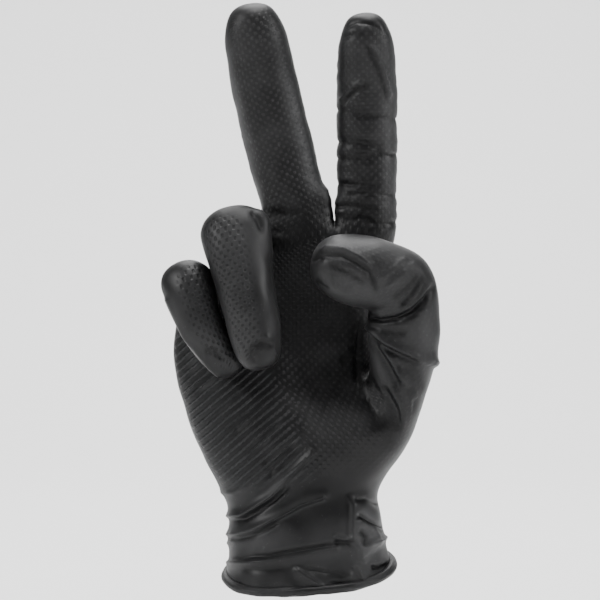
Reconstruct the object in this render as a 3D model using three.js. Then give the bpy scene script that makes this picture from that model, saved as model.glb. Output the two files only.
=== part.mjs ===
// A black nitrile exam glove, dipped in one piece, in the form that it has on a right hand held up
// in a V: index and middle stalls upright, ring and little stalls folded down, thumb across.
// Millimetres, +Z up the hand, the palm faces -Y. The origin is the middle of the cuff's mouth.
import * as THREE from "three";

// Driving sizes, in millimetres
const WALL = 1;
const BEAD_RADIUS = 1.9;
const CUFF_HEIGHT = 31.5;
const CUFF_BREADTH = 70.5;
const CUFF_DEPTH = 48;
const WRIST_BREADTH = 62;
const WRIST_DEPTH = 42;
const PALM_HEIGHT = 110;
const PALM_BREADTH = 100;
const PALM_DEPTH = 40;
const FOLD_WIDTH = 8;
const FOLD_HEIGHT = 1.6;

// The five stalls. Root places are shares of the palm's breadth, depth and height. Each bone has its
// own length, and its lean to the thumb's side and curl towards the palm in degrees.
const STALLS = {
  little: {
    width: 20.5,
    depth: 18,
    root: { across: -0.432, deep: -0.09, rise: 0.685, lean: -24, curl: 35 },
    bones: [
      { length: 24.2, lean: -26.5, curl: 58 },
      { length: 21.5, lean: -18, curl: 174 },
      { length: 23, lean: -36, curl: 195 },
    ],
    profile: "folded",
  },
  ring: {
    width: 26.5,
    depth: 20.5,
    root: { across: -0.264, deep: -0.05, rise: 0.821, lean: -16, curl: 33 },
    bones: [
      { length: 31, lean: -13.5, curl: 56 },
      { length: 31, lean: -12.5, curl: 172 },
      { length: 28, lean: -11, curl: 180 },
    ],
    profile: "folded",
  },
  middle: {
    width: 27,
    depth: 22,
    root: { across: -0.032, deep: 0.09, rise: 0.97, lean: -14, curl: 2 },
    bones: [
      { length: 31, lean: -15.5, curl: 3 },
      { length: 31, lean: -13.5, curl: 8 },
      { length: 33.5, lean: -10.5, curl: 13 },
    ],
    profile: "straight",
  },
  index: {
    width: 24.5,
    depth: 21,
    root: { across: 0.23, deep: 0.05, rise: 0.94, lean: 0, curl: 1 },
    bones: [
      { length: 30, lean: 0, curl: 2 },
      { length: 29, lean: -0.5, curl: 8 },
      { length: 33.5, lean: -1, curl: 14 },
    ],
    profile: "straight",
  },
  thumb: {
    width: 26,
    depth: 28,
    root: { across: 0.36, deep: -0.28, rise: 0.33, lean: 4, curl: 28 },
    bones: [
      { length: 29.5, lean: 5, curl: 28 },
      { length: 23, lean: -8, curl: 12 },
      { length: 38, lean: -72.5, curl: 14 },
    ],
    profile: "thumb",
    bends: "across",
  },
};

// Sections along a stall: the bone, how far along it, and the shares of the half width and of the
// half depth on the palm side and the back.
const PROFILES = {
  straight: [
    { bone: 0, at: 0.68, wide: 0.98, palm: 1.02, back: 0.95 },
    { bone: 1, at: 0, wide: 1.03, palm: 0.97, back: 1.04 },
    { bone: 1, at: 0.5, wide: 1.0, palm: 1.0, back: 0.95 },
    { bone: 2, at: 0, wide: 1.0, palm: 0.94, back: 0.97 },
    { bone: 2, at: 0.36, wide: 0.97, palm: 0.98, back: 0.88 },
    { bone: 2, at: 0.68, wide: 0.88, palm: 0.86, back: 0.76 },
    { bone: 2, at: 0.92, wide: 0.58, palm: 0.56, back: 0.5 },
  ],
  folded: [
    { bone: 0, at: 0.7, wide: 0.88, palm: 0.3, back: 1.06 },
    { bone: 1, at: 0, wide: 1.05, palm: 0.14, back: 1.3 },
    { bone: 1, at: 0.27, wide: 0.98, palm: 0.34, back: 1.08 },
    { bone: 1, at: 0.6, wide: 0.89, palm: 0.84, back: 0.96 },
    { bone: 2, at: 0, wide: 0.83, palm: 0.85, back: 0.98 },
    { bone: 2, at: 0.35, wide: 0.79, palm: 0.88, back: 0.88 },
    { bone: 2, at: 0.68, wide: 0.72, palm: 0.8, back: 0.76 },
    { bone: 2, at: 0.92, wide: 0.46, palm: 0.52, back: 0.48 },
  ],
  thumb: [
    { bone: 1, at: 0, wide: 0.88, palm: 1.14, back: 0.98 },
    { bone: 1, at: 0.5, wide: 0.92, palm: 1.04, back: 1.0 },
    { bone: 2, at: 0, wide: 1.0, palm: 1.04, back: 1.24 },
    { bone: 2, at: 0.3, wide: 1.02, palm: 0.98, back: 1.08 },
    { bone: 2, at: 0.54, wide: 1.0, palm: 1.0, back: 1.02 },
    { bone: 2, at: 0.78, wide: 0.9, palm: 0.88, back: 0.84 },
    { bone: 2, at: 0.94, wide: 0.58, palm: 0.56, back: 0.52 },
  ],
};

// Rows of the cuff, from its rim to the wrist: height as a share of the cuff's, the two edges as
// shares of its breadth and the half depth as a share of its depth.
const CUFF_ROWS = [
  { rise: 0, left: -0.5, right: 0.49, deep: 0.5 },
  { rise: 0.2, left: -0.487, right: 0.461, deep: 0.479 },
  { rise: 0.4, left: -0.484, right: 0.443, deep: 0.469 },
  { rise: 0.6, left: -0.484, right: 0.428, deep: 0.458 },
  { rise: 0.8, left: -0.487, right: 0.414, deep: 0.448 },
];
const WRIST = { left: -0.572, right: 0.445, deep: 0.495 };
const RIM_LEAN = { deep: 0.25, across: 0.074 };
const RIM_LIFT = 1.5;

// Rows of the palm, from the wrist to below the finger roots. Heights are shares of the palm's height
// above the wrist, at the little side and, for the palm side and the back, at the thumb. Edges are
// shares of its breadth, and the rest shares of its depth: where the two edges lie, how far the palm
// side stands out on the little side, in the hollow and at the thumb, and how far the back does.
const PALM_ROWS = [
  {
    rise: { little: 0.105, palm: 0.08, back: 0.11 },
    edge: { little: -0.428, palm: 0.33, back: 0.33 },
    mid: { little: 0, thumb: -0.07 },
    palm: { little: 0.5, hollow: 0.48, thumb: 0.5 },
    back: { little: 0.47, thumb: 0.47 },
  },
  {
    rise: { little: 0.215, palm: 0.16, back: 0.23 },
    edge: { little: -0.485, palm: 0.42, back: 0.42 },
    mid: { little: -0.02, thumb: -0.22 },
    palm: { little: 0.43, hollow: 0.42, thumb: 0.42 },
    back: { little: 0.44, thumb: 0.46 },
    full: 8,
  },
  {
    rise: { little: 0.33, palm: 0.25, back: 0.345 },
    edge: { little: -0.53, palm: 0.41, back: 0.4 },
    mid: { little: -0.02, thumb: -0.3 },
    palm: { little: 0.4, hollow: 0.33, thumb: 0.46 },
    back: { little: 0.42, thumb: 0.58 },
    full: 8,
  },
  {
    rise: { little: 0.44, palm: 0.38, back: 0.45 },
    edge: { little: -0.56, palm: 0.23, side: 0.27, back: 0.38 },
    mid: { little: -0.02, thumb: -0.14 },
    palm: { little: 0.36, hollow: 0.28, thumb: 0.36 },
    back: { little: 0.4, thumb: 0.26 },
    full: 8,
  },
  {
    rise: { little: 0.555, palm: 0.68, back: 0.74 },
    edge: { little: -0.575, palm: 0.26, back: 0.28 },
    mid: { little: 0, thumb: 0 },
    palm: { little: 0.3, hollow: 0.28, thumb: 0.3 },
    back: { little: 0.4, thumb: 0.4 },
  },
];
// The palm rows that the thumb's opening spans: its lower edge, its middle and its upper edge.
const THUMB_ROWS = [1, 2, 3];

// The film's folds on the palm side, in the order cuff, wrist, ball of the thumb and hollow. Both ends
// lie at shares of the palm's breadth across and of its height above the wrist. The bow is a share of
// the fold's own length, and a fold that is deep instead of high is a crease.
const FOLDS = [
  {
    from: { across: -0.34, rise: -0.215 },
    to: { across: 0.11, rise: -0.18 },
    bow: -0.13, wide: 1.0, high: 0.7,
  },
  {
    from: { across: -0.05, rise: -0.245 },
    to: { across: 0.06, rise: -0.32 },
    bow: 0.1, wide: 0.8, high: 0.6,
  },
  {
    from: { across: -0.335, rise: -0.13 },
    to: { across: 0.0, rise: -0.01 },
    bow: -0.08, wide: 0.9, high: 0.8,
  },
  {
    from: { across: -0.34, rise: -0.075 },
    to: { across: -0.03, rise: 0.11 },
    bow: -0.06, wide: 1.0, high: 1.0,
  },
  {
    from: { across: -0.36, rise: 0.02 },
    to: { across: -0.2, rise: 0.09 },
    bow: -0.1, wide: 0.9, high: 0.6,
  },
  {
    from: { across: 0.157, rise: 0.02 },
    to: { across: 0.205, rise: -0.22 },
    bow: -0.05, wide: 1.0, high: 0.9,
  },
  {
    from: { across: 0.235, rise: 0.04 },
    to: { across: 0.27, rise: -0.12 },
    bow: 0.05, wide: 0.9, high: -0.7,
  },
  {
    from: { across: 0.2, rise: 0.61 },
    to: { across: 0.51, rise: 0.475 },
    bow: 0.06, wide: 1.0, high: -0.8,
  },
  {
    from: { across: 0.24, rise: 0.52 },
    to: { across: 0.47, rise: 0.4 },
    bow: 0.05, wide: 1.2, high: 0.8,
  },
  {
    from: { across: 0.27, rise: 0.46 },
    to: { across: 0.31, rise: 0.2 },
    bow: -0.14, wide: 1.1, high: 0.8,
  },
  {
    from: { across: 0.2, rise: 0.5 },
    to: { across: 0.22, rise: 0.16 },
    bow: -0.16, wide: 1.1, high: -0.8,
  },
  {
    from: { across: -0.3, rise: 0.44 },
    to: { across: -0.05, rise: 0.36 },
    bow: 0.1, wide: 1.4, high: -0.6,
  },
];

// Where the nine columns of cage points lie across a row, and where they lie round a stall's section.
const COLUMNS = [0.06, 0.17, 0.28, 0.39, 0.5, 0.61, 0.72, 0.83, 0.94];
const ROUND = [
  { side: -0.75, palm: 0.75 },
  { side: 0, palm: 1 },
  { side: 0.75, palm: 0.75 },
  { side: 1, palm: 0 },
  { side: 0.75, palm: -0.75 },
  { side: 0, palm: -1 },
  { side: -0.75, palm: -0.75 },
  { side: -1, palm: 0 },
];
const WEB_RISE = 1;
const EVEN_ROUNDS = 2;
const EVEN_KEEP = 4;
const BEAD_SIDES = 7;
const RADIANS = Math.PI / 180;
const CAGE_SPREAD = 1.09;

const mix = (a, b, t) => a + (b - a) * t;

// The direction of a bone: up the hand, turned towards the palm by its curl and sideways by its lean.
function direction({ lean, curl }) {
  const [l, c] = [lean * RADIANS, curl * RADIANS];
  return new THREE.Vector3(Math.cos(c) * Math.sin(l), -Math.sin(c), Math.cos(c) * Math.cos(l));
}

// A cage being built: its points, and its four-sided faces as lists of point numbers.
class Cage {
  constructor() {
    this.points = [];
    this.quads = [];
  }

  add(point) {
    this.points.push(point);
    return this.points.length - 1;
  }

  // Joins two rings of point numbers with a band of faces; the second ring lies further out.
  band(inner, outer) {
    inner.forEach((a, i) => {
      const j = (i + 1) % inner.length;
      this.quads.push([a, inner[j], outer[j], outer[i]]);
    });
  }

  // Closes a ring of eight with four faces round one point.
  cap(ring, tip) {
    for (let i = 1; i < ring.length; i += 2) {
      this.quads.push([tip, ring[(i + 7) % 8], ring[i], ring[(i + 1) % 8]]);
    }
  }
}

// One closed row round the palm or cuff: nine points on the palm side from the little side to the
// thumb side, the thumb's edge, nine on the back, and the little side's edge.
function row({ rise, edge, mid, palm, back, full = 3 }) {
  const at = (share, stand, right, height) => {
    const t = 2 * share - 1;
    const round = Math.sqrt(Math.max(0, 1 - Math.abs(t) ** (t > 0 && stand < 0 ? full : 3)));
    return new THREE.Vector3(
      mix(edge.little, right, share),
      mix(mid.little, mid.thumb, share) + stand * round,
      mix(rise.little, height, share),
    );
  };
  const { little, hollow, thumb } = palm;
  const palmStand = (c) => (c < 0.5 ? mix(little, hollow, 2 * c) : mix(hollow, thumb, 2 * c - 1));
  return [
    ...COLUMNS.map((c) => at(c, -palmStand(c), edge.palm, rise.palm)),
    at(1, 0, edge.side ?? (edge.palm + edge.back) / 2, (rise.palm + rise.back) / 2),
    ...[...COLUMNS].reverse().map((c) => at(c, mix(back.little, back.thumb, c), edge.back, rise.back)),
    at(0, 0, edge.palm, rise.palm),
  ];
}

// A row of the cuff, in millimetres: an upright oval.
function cuffRow(height, { left, right, deep }, breadth, depth) {
  const half = deep * depth;
  return row({
    rise: { little: height, palm: height, back: height },
    edge: { little: left * breadth, palm: right * breadth, back: right * breadth },
    mid: { little: 0, thumb: 0 },
    palm: { little: half, hollow: half, thumb: half },
    back: { little: half, thumb: half },
  });
}

// The rows of the cuff and the palm, in millimetres, from the rim upwards.
function rows() {
  const cuff = CUFF_ROWS.map((section) => {
    const points = cuffRow(section.rise * CUFF_HEIGHT, section, CUFF_BREADTH, CUFF_DEPTH);
    const lean = 1 - section.rise;
    for (const p of points) p.z += lean * (RIM_LEAN.deep * p.y + RIM_LEAN.across * p.x + RIM_LIFT);
    return points;
  });
  const wrist = cuffRow(CUFF_HEIGHT, WRIST, WRIST_BREADTH, WRIST_DEPTH);
  const scaled = (shares, size, from = 0) =>
    Object.fromEntries(Object.entries(shares).map(([place, share]) => [place, from + share * size]));
  const palm = PALM_ROWS.map((shares) =>
    row({
      rise: scaled(shares.rise, PALM_HEIGHT, CUFF_HEIGHT),
      edge: scaled(shares.edge, PALM_BREADTH),
      mid: scaled(shares.mid, PALM_DEPTH),
      palm: scaled(shares.palm, PALM_DEPTH),
      back: scaled(shares.back, PALM_DEPTH),
      full: shares.full,
    }),
  );
  return [...cuff, wrist, ...palm];
}

// A section's frame: its centre, the way along the stall, the side and the palm side.
function frame(centre, along, side) {
  const across = side.clone().addScaledVector(along, -side.dot(along)).normalize();
  return { centre, along, side: across, palm: across.clone().cross(along) };
}

// The point of a stall's section at one place round it.
function onSection({ centre, side, palm }, place, wide, palmDeep, backDeep) {
  const deep = place.palm > 0 ? palmDeep : backDeep;
  return centre
    .clone()
    .addScaledVector(side, place.side * wide)
    .addScaledVector(palm, place.palm * deep);
}

// The root of a stall: its place on the palm, and the frame of its first section.
function rootFrame(stall) {
  const { across, deep, rise } = stall.root;
  const centre = new THREE.Vector3(
    across * PALM_BREADTH,
    deep * PALM_DEPTH,
    CUFF_HEIGHT + rise * PALM_HEIGHT,
  );
  return frame(centre, direction(stall.root), stallSide(stall));
}

// The side direction of a stall: square to the plane that its bones bend in, which is towards the
// palm for a finger and across the hand for the thumb.
function stallSide({ bones, bends }) {
  const towards = bends === "across" ? direction(bones.at(-1)) : new THREE.Vector3(0, -1, 0);
  return direction(bones[0]).cross(towards).normalize();
}

// The sections of a stall beyond its root, and its tip.
function stallSections(stall) {
  const side = stallSide(stall);
  const joints = [rootFrame(stall).centre];
  for (const bone of stall.bones) {
    joints.push(joints.at(-1).clone().addScaledVector(direction(bone), bone.length));
  }
  const sections = PROFILES[stall.profile].map(({ bone, at, wide, palm, back }) => {
    const along = direction(stall.bones[bone]);
    if (at === 0) along.add(direction(stall.bones[bone - 1])).normalize();
    const centre = joints[bone].clone().lerp(joints[bone + 1], at);
    const place = frame(centre, along, side);
    const halfWidth = (wide * stall.width * CAGE_SPREAD) / 2;
    const [halfPalm, halfBack] = [palm, back].map((d) => (d * stall.depth * CAGE_SPREAD) / 2);
    return ROUND.map((r) => onSection(place, r, halfWidth, halfPalm, halfBack));
  });
  return { sections, tip: joints.at(-1) };
}

// The row of finger roots: twenty points that the four stalls share with the palm, and the three
// webs between them.
function fingerRow(fingers) {
  const corners = fingers.map((stall) => {
    const place = rootFrame(stall);
    const half = (stall.width * CAGE_SPREAD) / 2;
    const deep = (stall.depth * CAGE_SPREAD) / 2;
    return ROUND.map((r) => onSection(place, r, half, deep, deep));
  });
  const meet = (i, right, left, lift) => {
    if (i === 0) return corners[0][left];
    if (i === fingers.length) return corners[i - 1][right];
    const point = corners[i - 1][right].clone().lerp(corners[i][left], 0.5);
    point.z += lift;
    return point;
  };
  const palm = [];
  const back = [];
  const webs = [];
  for (let i = 0; i <= fingers.length; i++) {
    palm.push(meet(i, 2, 0, 0));
    webs.push(meet(i, 3, 7, WEB_RISE));
    back.push(meet(i, 4, 6, 0));
    if (i < fingers.length) {
      palm.push(corners[i][1]);
      back.push(corners[i][5]);
    }
  }
  return { palm, webs, back };
}

// The cage of the whole glove: rows up the cuff and the palm, then the stalls.
function buildCage() {
  const cage = new Cage();
  const fingers = [STALLS.little, STALLS.ring, STALLS.middle, STALLS.index];
  const [low, mid, high] = THUMB_ROWS.map((r) => CUFF_ROWS.length + 1 + r);
  const edge = COLUMNS.length;
  const rings = rows().map((points, k) =>
    points.map((p, i) => (k === mid && i === edge ? -1 : cage.add(p))),
  );
  const top = fingerRow(fingers);
  const palm = top.palm.map((p) => cage.add(p));
  const webs = top.webs.map((p) => cage.add(p));
  const back = top.back.map((p) => cage.add(p));
  rings.push([...palm, webs.at(-1), ...[...back].reverse(), webs[0]]);

  for (let k = 0; k + 1 < rings.length; k++) {
    rings[k].forEach((a, i) => {
      const j = (i + 1) % rings[k].length;
      const inThumb = (k === low || k === mid) && (i === edge - 1 || i === edge);
      if (!inThumb) cage.quads.push([a, rings[k][j], rings[k + 1][j], rings[k + 1][i]]);
    });
  }

  fingers.forEach((stall, i) => {
    const [p, b] = [palm.slice(2 * i, 2 * i + 3), back.slice(2 * i, 2 * i + 3)];
    addStall(cage, stall, [...p, webs[i + 1], b[2], b[1], b[0], webs[i]]);
  });
  const [lower, middle, upper] = [rings[low], rings[mid], rings[high]];
  addStall(cage, STALLS.thumb, [
    upper[edge + 1],
    upper[edge],
    upper[edge - 1],
    middle[edge - 1],
    lower[edge - 1],
    lower[edge],
    lower[edge + 1],
    middle[edge + 1],
  ]);
  return { cage, rim: rings[0] };
}

// Adds a stall's sections and tip to the cage, from its root ring on.
function addStall(cage, stall, root) {
  const { sections, tip } = stallSections(stall);
  sections.unshift(root.map((at, i) => cage.points[at].clone().lerp(sections[0][i], 0.5)));
  let ring = root;
  for (const points of sections) {
    const next = points.map((p) => cage.add(p));
    cage.band(ring, next);
    ring = next;
  }
  cage.cap(ring, cage.add(tip));
}

// One step of Catmull-Clark: each face becomes four, and the points are averaged to round the form.
function subdivide({ points, quads }) {
  const made = [];
  const add = (p) => made.push(p) - 1;
  const sums = points.map(() => ({ faces: new THREE.Vector3(), mids: new THREE.Vector3(), n: 0, rim: [] }));
  const centres = quads.map((q) => {
    const c = q.reduce((s, i) => s.add(points[i]), new THREE.Vector3()).divideScalar(4);
    for (const i of q) {
      sums[i].faces.add(c);
      sums[i].n++;
    }
    return c;
  });
  const edges = new Map();
  quads.forEach((q, f) => {
    q.forEach((a, k) => {
      const b = q[(k + 1) % 4];
      const key = a < b ? `${a},${b}` : `${b},${a}`;
      if (!edges.has(key)) edges.set(key, { a, b, faces: [] });
      edges.get(key).faces.push(f);
    });
  });
  for (const e of edges.values()) {
    const half = points[e.a].clone().lerp(points[e.b], 0.5);
    sums[e.a].mids.add(half);
    sums[e.b].mids.add(half);
    if (e.faces.length === 1) {
      sums[e.a].rim.push(half);
      sums[e.b].rim.push(half);
      e.point = half;
    } else {
      e.point = half.clone().lerp(centres[e.faces[0]].clone().lerp(centres[e.faces[1]], 0.5), 0.5);
    }
  }
  points.forEach((p, i) => {
    const { faces, mids, n, rim } = sums[i];
    if (rim.length) return add(rim[0].clone().add(rim[1]).multiplyScalar(0.25).addScaledVector(p, 0.5));
    const moved = faces.divideScalar(n).addScaledVector(mids, 2 / n).addScaledVector(p, n - 3);
    return add(moved.divideScalar(n));
  });
  const faceAt = centres.map(add);
  for (const e of edges.values()) e.at = add(e.point);
  const edgeAt = (a, b) => edges.get(a < b ? `${a},${b}` : `${b},${a}`).at;
  const split = quads.flatMap((q, f) =>
    q.map((a, k) => [a, edgeAt(a, q[(k + 1) % 4]), faceAt[f], edgeAt(a, q[(k + 3) % 4])]),
  );
  return { points: made, quads: split };
}

// Moves each point on to the smooth surface that endless subdivision would give.
function toLimit({ points, quads }) {
  const around = points.map(() => ({ sides: new Map(), corners: new THREE.Vector3(), n: 0 }));
  for (const q of quads) {
    q.forEach((a, k) => {
      const [next, across, before] = [1, 2, 3].map((s) => q[(k + s) % 4]);
      for (const b of [next, before]) around[a].sides.set(b, (around[a].sides.get(b) ?? 0) + 1);
      around[a].corners.add(points[across]);
      around[a].n++;
    });
  }
  return points.map((p, i) => {
    const { sides, corners, n } = around[i];
    const rim = [...sides].filter(([, uses]) => uses === 1).map(([b]) => points[b]);
    if (rim.length) return p.clone().multiplyScalar(4).add(rim[0]).add(rim[1]).divideScalar(6);
    const sum = [...sides.keys()].reduce((s, b) => s.add(points[b]), new THREE.Vector3());
    const moved = p.clone().multiplyScalar(n * n).addScaledVector(sum, 4).add(corners);
    return moved.divideScalar(n * (n + 5));
  });
}

// The outward direction at each point, from the faces round it.
function outward(points, quads) {
  const normals = points.map(() => new THREE.Vector3());
  for (const [a, b, c, d] of quads) {
    const n = points[c].clone().sub(points[a]).cross(points[d].clone().sub(points[b]));
    for (const i of [a, b, c, d]) normals[i].add(n);
  }
  return normals.map((n) => n.normalize());
}

// The way into the film at each point: the outward directions, evened out over their neighbours so
// that the inner surface does not cross itself at a web or a tight bend.
function evened(normals, quads) {
  let even = normals;
  for (let round = 0; round < EVEN_ROUNDS; round++) {
    const sums = even.map((n) => n.clone().multiplyScalar(EVEN_KEEP));
    for (const q of quads) for (const i of q) for (const j of q) sums[i].add(even[j]);
    even = sums.map((n) => n.normalize());
  }
  return even;
}

// How far one fold lifts the film at a point: in full along the fold's line, less towards its sides
// and its ends, and only where the film faces the palm side.
function liftOf({ from, to, bow, wide, high }, point, facing) {
  const start = new THREE.Vector2(from.across * PALM_BREADTH, CUFF_HEIGHT + from.rise * PALM_HEIGHT);
  const end = new THREE.Vector2(to.across * PALM_BREADTH, CUFF_HEIGHT + to.rise * PALM_HEIGHT);
  const run = end.clone().sub(start);
  const there = new THREE.Vector2(point.x, point.z).sub(start);
  const along = there.dot(run) / run.lengthSq();
  if (along <= 0 || along >= 1) return 0;
  const aside = there.cross(run) / run.length() - bow * run.length() * 4 * along * (1 - along);
  const fade = Math.sqrt(Math.sin(Math.PI * along)) * Math.min(1, Math.max(0, -1.6 * facing.y));
  return high * FOLD_HEIGHT * fade * Math.exp(-((aside / (wide * FOLD_WIDTH)) ** 2) * 2);
}

// The surface with its folds raised and its creases sunk.
function folded(points, quads) {
  const facing = outward(points, quads);
  return points.map((p, i) => {
    const lift = FOLDS.reduce((sum, fold) => sum + liftOf(fold, p, facing[i]), 0);
    return p.clone().addScaledVector(facing[i], lift);
  });
}

// The closed film: the outer surface, the same surface a wall further in, and round the rim the
// bead, which is the film rolled outwards on itself.
function closeFilm(outer, quads, rim) {
  const normals = evened(outward(outer, quads), quads);
  const points = outer.map((p) => p.clone());
  const innerOf = outer.map((p, i) => points.push(p.clone().addScaledVector(normals[i], -WALL)) - 1);
  const faces = [...quads, ...quads.map(([a, b, c, d]) => [a, d, c, b].map((i) => innerOf[i]))];
  const fromTop = Math.acos((WALL - BEAD_RADIUS) / BEAD_RADIUS);
  const profiles = rim.map(({ at, above }) => {
    const down = outer[at].clone().sub(outer[above]);
    down.addScaledVector(normals[at], -down.dot(normals[at])).normalize();
    const inner = points[innerOf[at]];
    const middle = inner.clone().addScaledVector(normals[at], BEAD_RADIUS);
    points[at].addScaledVector(down, -BEAD_RADIUS * Math.sin(fromTop));
    const made = [];
    for (let k = 1; k < BEAD_SIDES; k++) {
      const turn = mix(fromTop, -Math.PI, k / BEAD_SIDES);
      const p = middle.clone().addScaledVector(normals[at], BEAD_RADIUS * Math.cos(turn));
      made.push(points.push(p.addScaledVector(down, -BEAD_RADIUS * Math.sin(turn))) - 1);
    }
    return [at, ...made, innerOf[at]];
  });
  profiles.forEach((a, i) => {
    const b = profiles[(i + 1) % profiles.length];
    for (let k = 0; k + 1 < a.length; k++) faces.push([a[k], a[k + 1], b[k + 1], b[k]]);
  });
  return { points, faces };
}

// The rim's points in order round it, each with the point above it on the next row.
function rimLoop(quads, first) {
  const uses = new Map();
  for (const q of quads) {
    q.forEach((a, k) => {
      const b = q[(k + 1) % 4];
      if (!uses.delete(`${b},${a}`)) uses.set(`${a},${b}`, { a, b, above: q[(k + 3) % 4] });
    });
  }
  const next = new Map([...uses.values()].map((e) => [e.a, e]));
  const loop = [];
  let at = first;
  do {
    const e = next.get(at);
    loop.push({ at, above: e.above });
    at = e.b;
  } while (at !== first);
  return loop;
}

// A three.js geometry of the closed film, each four-sided face cut in two.
function toGeometry({ points, faces }) {
  const geometry = new THREE.BufferGeometry();
  geometry.setAttribute("position", new THREE.Float32BufferAttribute(points.flatMap((p) => [...p]), 3));
  geometry.setIndex(faces.flatMap(([a, b, c, d]) => [a, b, c, a, c, d]));
  geometry.computeVertexNormals();
  return geometry;
}

const { cage, rim } = buildCage();
const smooth = subdivide(cage);
const surface = folded(toLimit(smooth), smooth.quads);
const film = closeFilm(surface, smooth.quads, rimLoop(smooth.quads, rim[0]));

const nitrile = new THREE.MeshStandardMaterial({ color: 0x2b2b2d, roughness: 0.55, metalness: 0 });
const glove = new THREE.Mesh(toGeometry(film), nitrile);
glove.name = "glove";

const part = new THREE.Group();
part.add(glove);
export default part;
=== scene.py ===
"""A black nitrile exam glove in the form that it has on a right hand raised in a V.

The film is one closed cage of four-sided faces, worked out from tables of sections, smoothed by
subdivision and then folded and creased by whole-array formulas. Lengths are in metres, +Z runs up
the hand and the palm faces -Y, as in the frame.
"""
import logging
from dataclasses import dataclass, field
from enum import Enum

import bmesh
import bpy
import numpy as np
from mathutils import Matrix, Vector


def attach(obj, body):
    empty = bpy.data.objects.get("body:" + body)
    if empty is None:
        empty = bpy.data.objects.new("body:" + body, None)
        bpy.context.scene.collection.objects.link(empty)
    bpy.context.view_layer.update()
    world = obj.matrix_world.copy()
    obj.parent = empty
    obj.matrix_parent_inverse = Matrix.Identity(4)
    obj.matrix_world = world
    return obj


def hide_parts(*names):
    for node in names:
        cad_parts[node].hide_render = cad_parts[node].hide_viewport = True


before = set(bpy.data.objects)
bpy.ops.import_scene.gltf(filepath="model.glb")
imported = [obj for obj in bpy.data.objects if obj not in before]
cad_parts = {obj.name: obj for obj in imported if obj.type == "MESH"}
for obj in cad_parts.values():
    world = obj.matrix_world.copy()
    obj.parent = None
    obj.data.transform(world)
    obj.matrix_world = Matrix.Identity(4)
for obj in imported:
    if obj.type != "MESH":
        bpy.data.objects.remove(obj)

Array = np.ndarray
LOG = logging.getLogger("glove")
MM = 0.001
PICTURE_SIDE = 600.0
CAGE_SPREAD = 1.09
FOLD_POWER = 1.6
FOLD_END = 0.2
# The strength of the painted shade laid along the creases
PAINTED_CREASE_SHADE = 0.9
SLACK_HEIGHT = 0.16
WRINKLE_HEIGHT = 0.22
COLUMNS = np.array([0.06, 0.17, 0.28, 0.39, 0.5, 0.61, 0.72, 0.83, 0.94])
AROUND = np.array(
    [(-0.75, 0.75), (0, 1), (0.75, 0.75), (1, 0), (0.75, -0.75), (0, -1), (-0.75, -0.75), (-1, 0)]
)


class Region(Enum):
    """The parts of the film that a fold can belong to."""

    HAND = "hand"
    LITTLE = "little"
    RING = "ring"
    MIDDLE = "middle"
    INDEX = "index"
    THUMB = "thumb"


class Profile(Enum):
    """How a stall's sections run along its bones."""

    STRAIGHT = "straight"
    FOLDED = "folded"
    THUMB = "thumb"


@dataclass(frozen=True)
class Bone:
    """One straight stretch of a stall: its length, and its lean and curl in degrees."""

    length: float
    lean: float
    curl: float


@dataclass(frozen=True)
class Root:
    """Where a stall leaves the palm, as shares of the palm's breadth, depth and height."""

    across: float
    deep: float
    rise: float
    lean: float
    curl: float


@dataclass(frozen=True)
class Section:
    """A section along a bone, with shares of the stall's half width and half depths."""

    bone: int
    at: float
    wide: float
    palm: float
    back: float


@dataclass(frozen=True)
class CuffRow:
    """A row of the cuff: its height, edges and half depth as shares of the cuff's sizes."""

    rise: float
    left: float
    right: float
    deep: float


@dataclass(frozen=True)
class PalmRow:
    """A row of the palm, in shares: heights, edges, where the edges lie, and how far it stands out."""

    rise: tuple[float, float, float]
    edge: tuple[float, float, float, float]
    mid: tuple[float, float]
    palm: tuple[float, float, float]
    back: tuple[float, float]
    full: float = 3.0


@dataclass(frozen=True)
class Fold:
    """A ridge or crease of the film.

    The path holds x and y of picture points, in pixels of a 600 by 600 picture, in turn. The height
    is in millimetres, and so are the two widths, which say how fast it falls off to the left and to
    the right of the path. A fold that wraps runs on round the film's side and doesn't fade at its
    ends.
    """

    regions: tuple[Region, ...]
    path: tuple[float, ...]
    height: float
    left: float
    right: float
    wraps: bool = False


# Each row is a Section's bone, at, wide, palm and back
SECTIONS = {
    Profile.STRAIGHT: (
        (0, 0.68, 0.98, 1.02, 0.95), (1, 0, 1.03, 0.97, 1.04), (1, 0.5, 1, 1, 0.95),
        (2, 0, 1, 0.94, 0.97), (2, 0.36, 0.97, 0.98, 0.88), (2, 0.68, 0.88, 0.86, 0.76),
        (2, 0.92, 0.58, 0.56, 0.5),
    ),
    Profile.FOLDED: (
        (0, 0.7, 0.88, 0.3, 1.06), (1, 0, 1.05, 0.14, 1.3), (1, 0.27, 0.98, 0.34, 1.08),
        (1, 0.6, 0.89, 0.84, 0.96), (2, 0, 0.83, 0.85, 0.98), (2, 0.35, 0.79, 0.88, 0.88),
        (2, 0.68, 0.72, 0.8, 0.76), (2, 0.92, 0.46, 0.52, 0.48),
    ),
    Profile.THUMB: (
        (1, 0, 0.88, 1.14, 0.98), (1, 0.5, 0.92, 1.04, 1), (2, 0, 1, 1.04, 1.24),
        (2, 0.3, 1.02, 0.98, 1.08), (2, 0.54, 1, 1, 1.02), (2, 0.78, 0.9, 0.88, 0.84),
        (2, 0.94, 0.58, 0.56, 0.52),
    ),
}


def direction(lean: float, curl: float) -> Array:
    """The way a bone points: up the hand, turned towards the palm by curl and sideways by lean.

    Args:
        lean: Degrees towards the thumb's side.
        curl: Degrees towards the palm.

    Returns:
        A unit vector (cos c sin l, -sin c, cos c cos l).
    """
    l, c = np.radians(lean), np.radians(curl)
    return np.array([np.cos(c) * np.sin(l), -np.sin(c), np.cos(c) * np.cos(l)])


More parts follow.
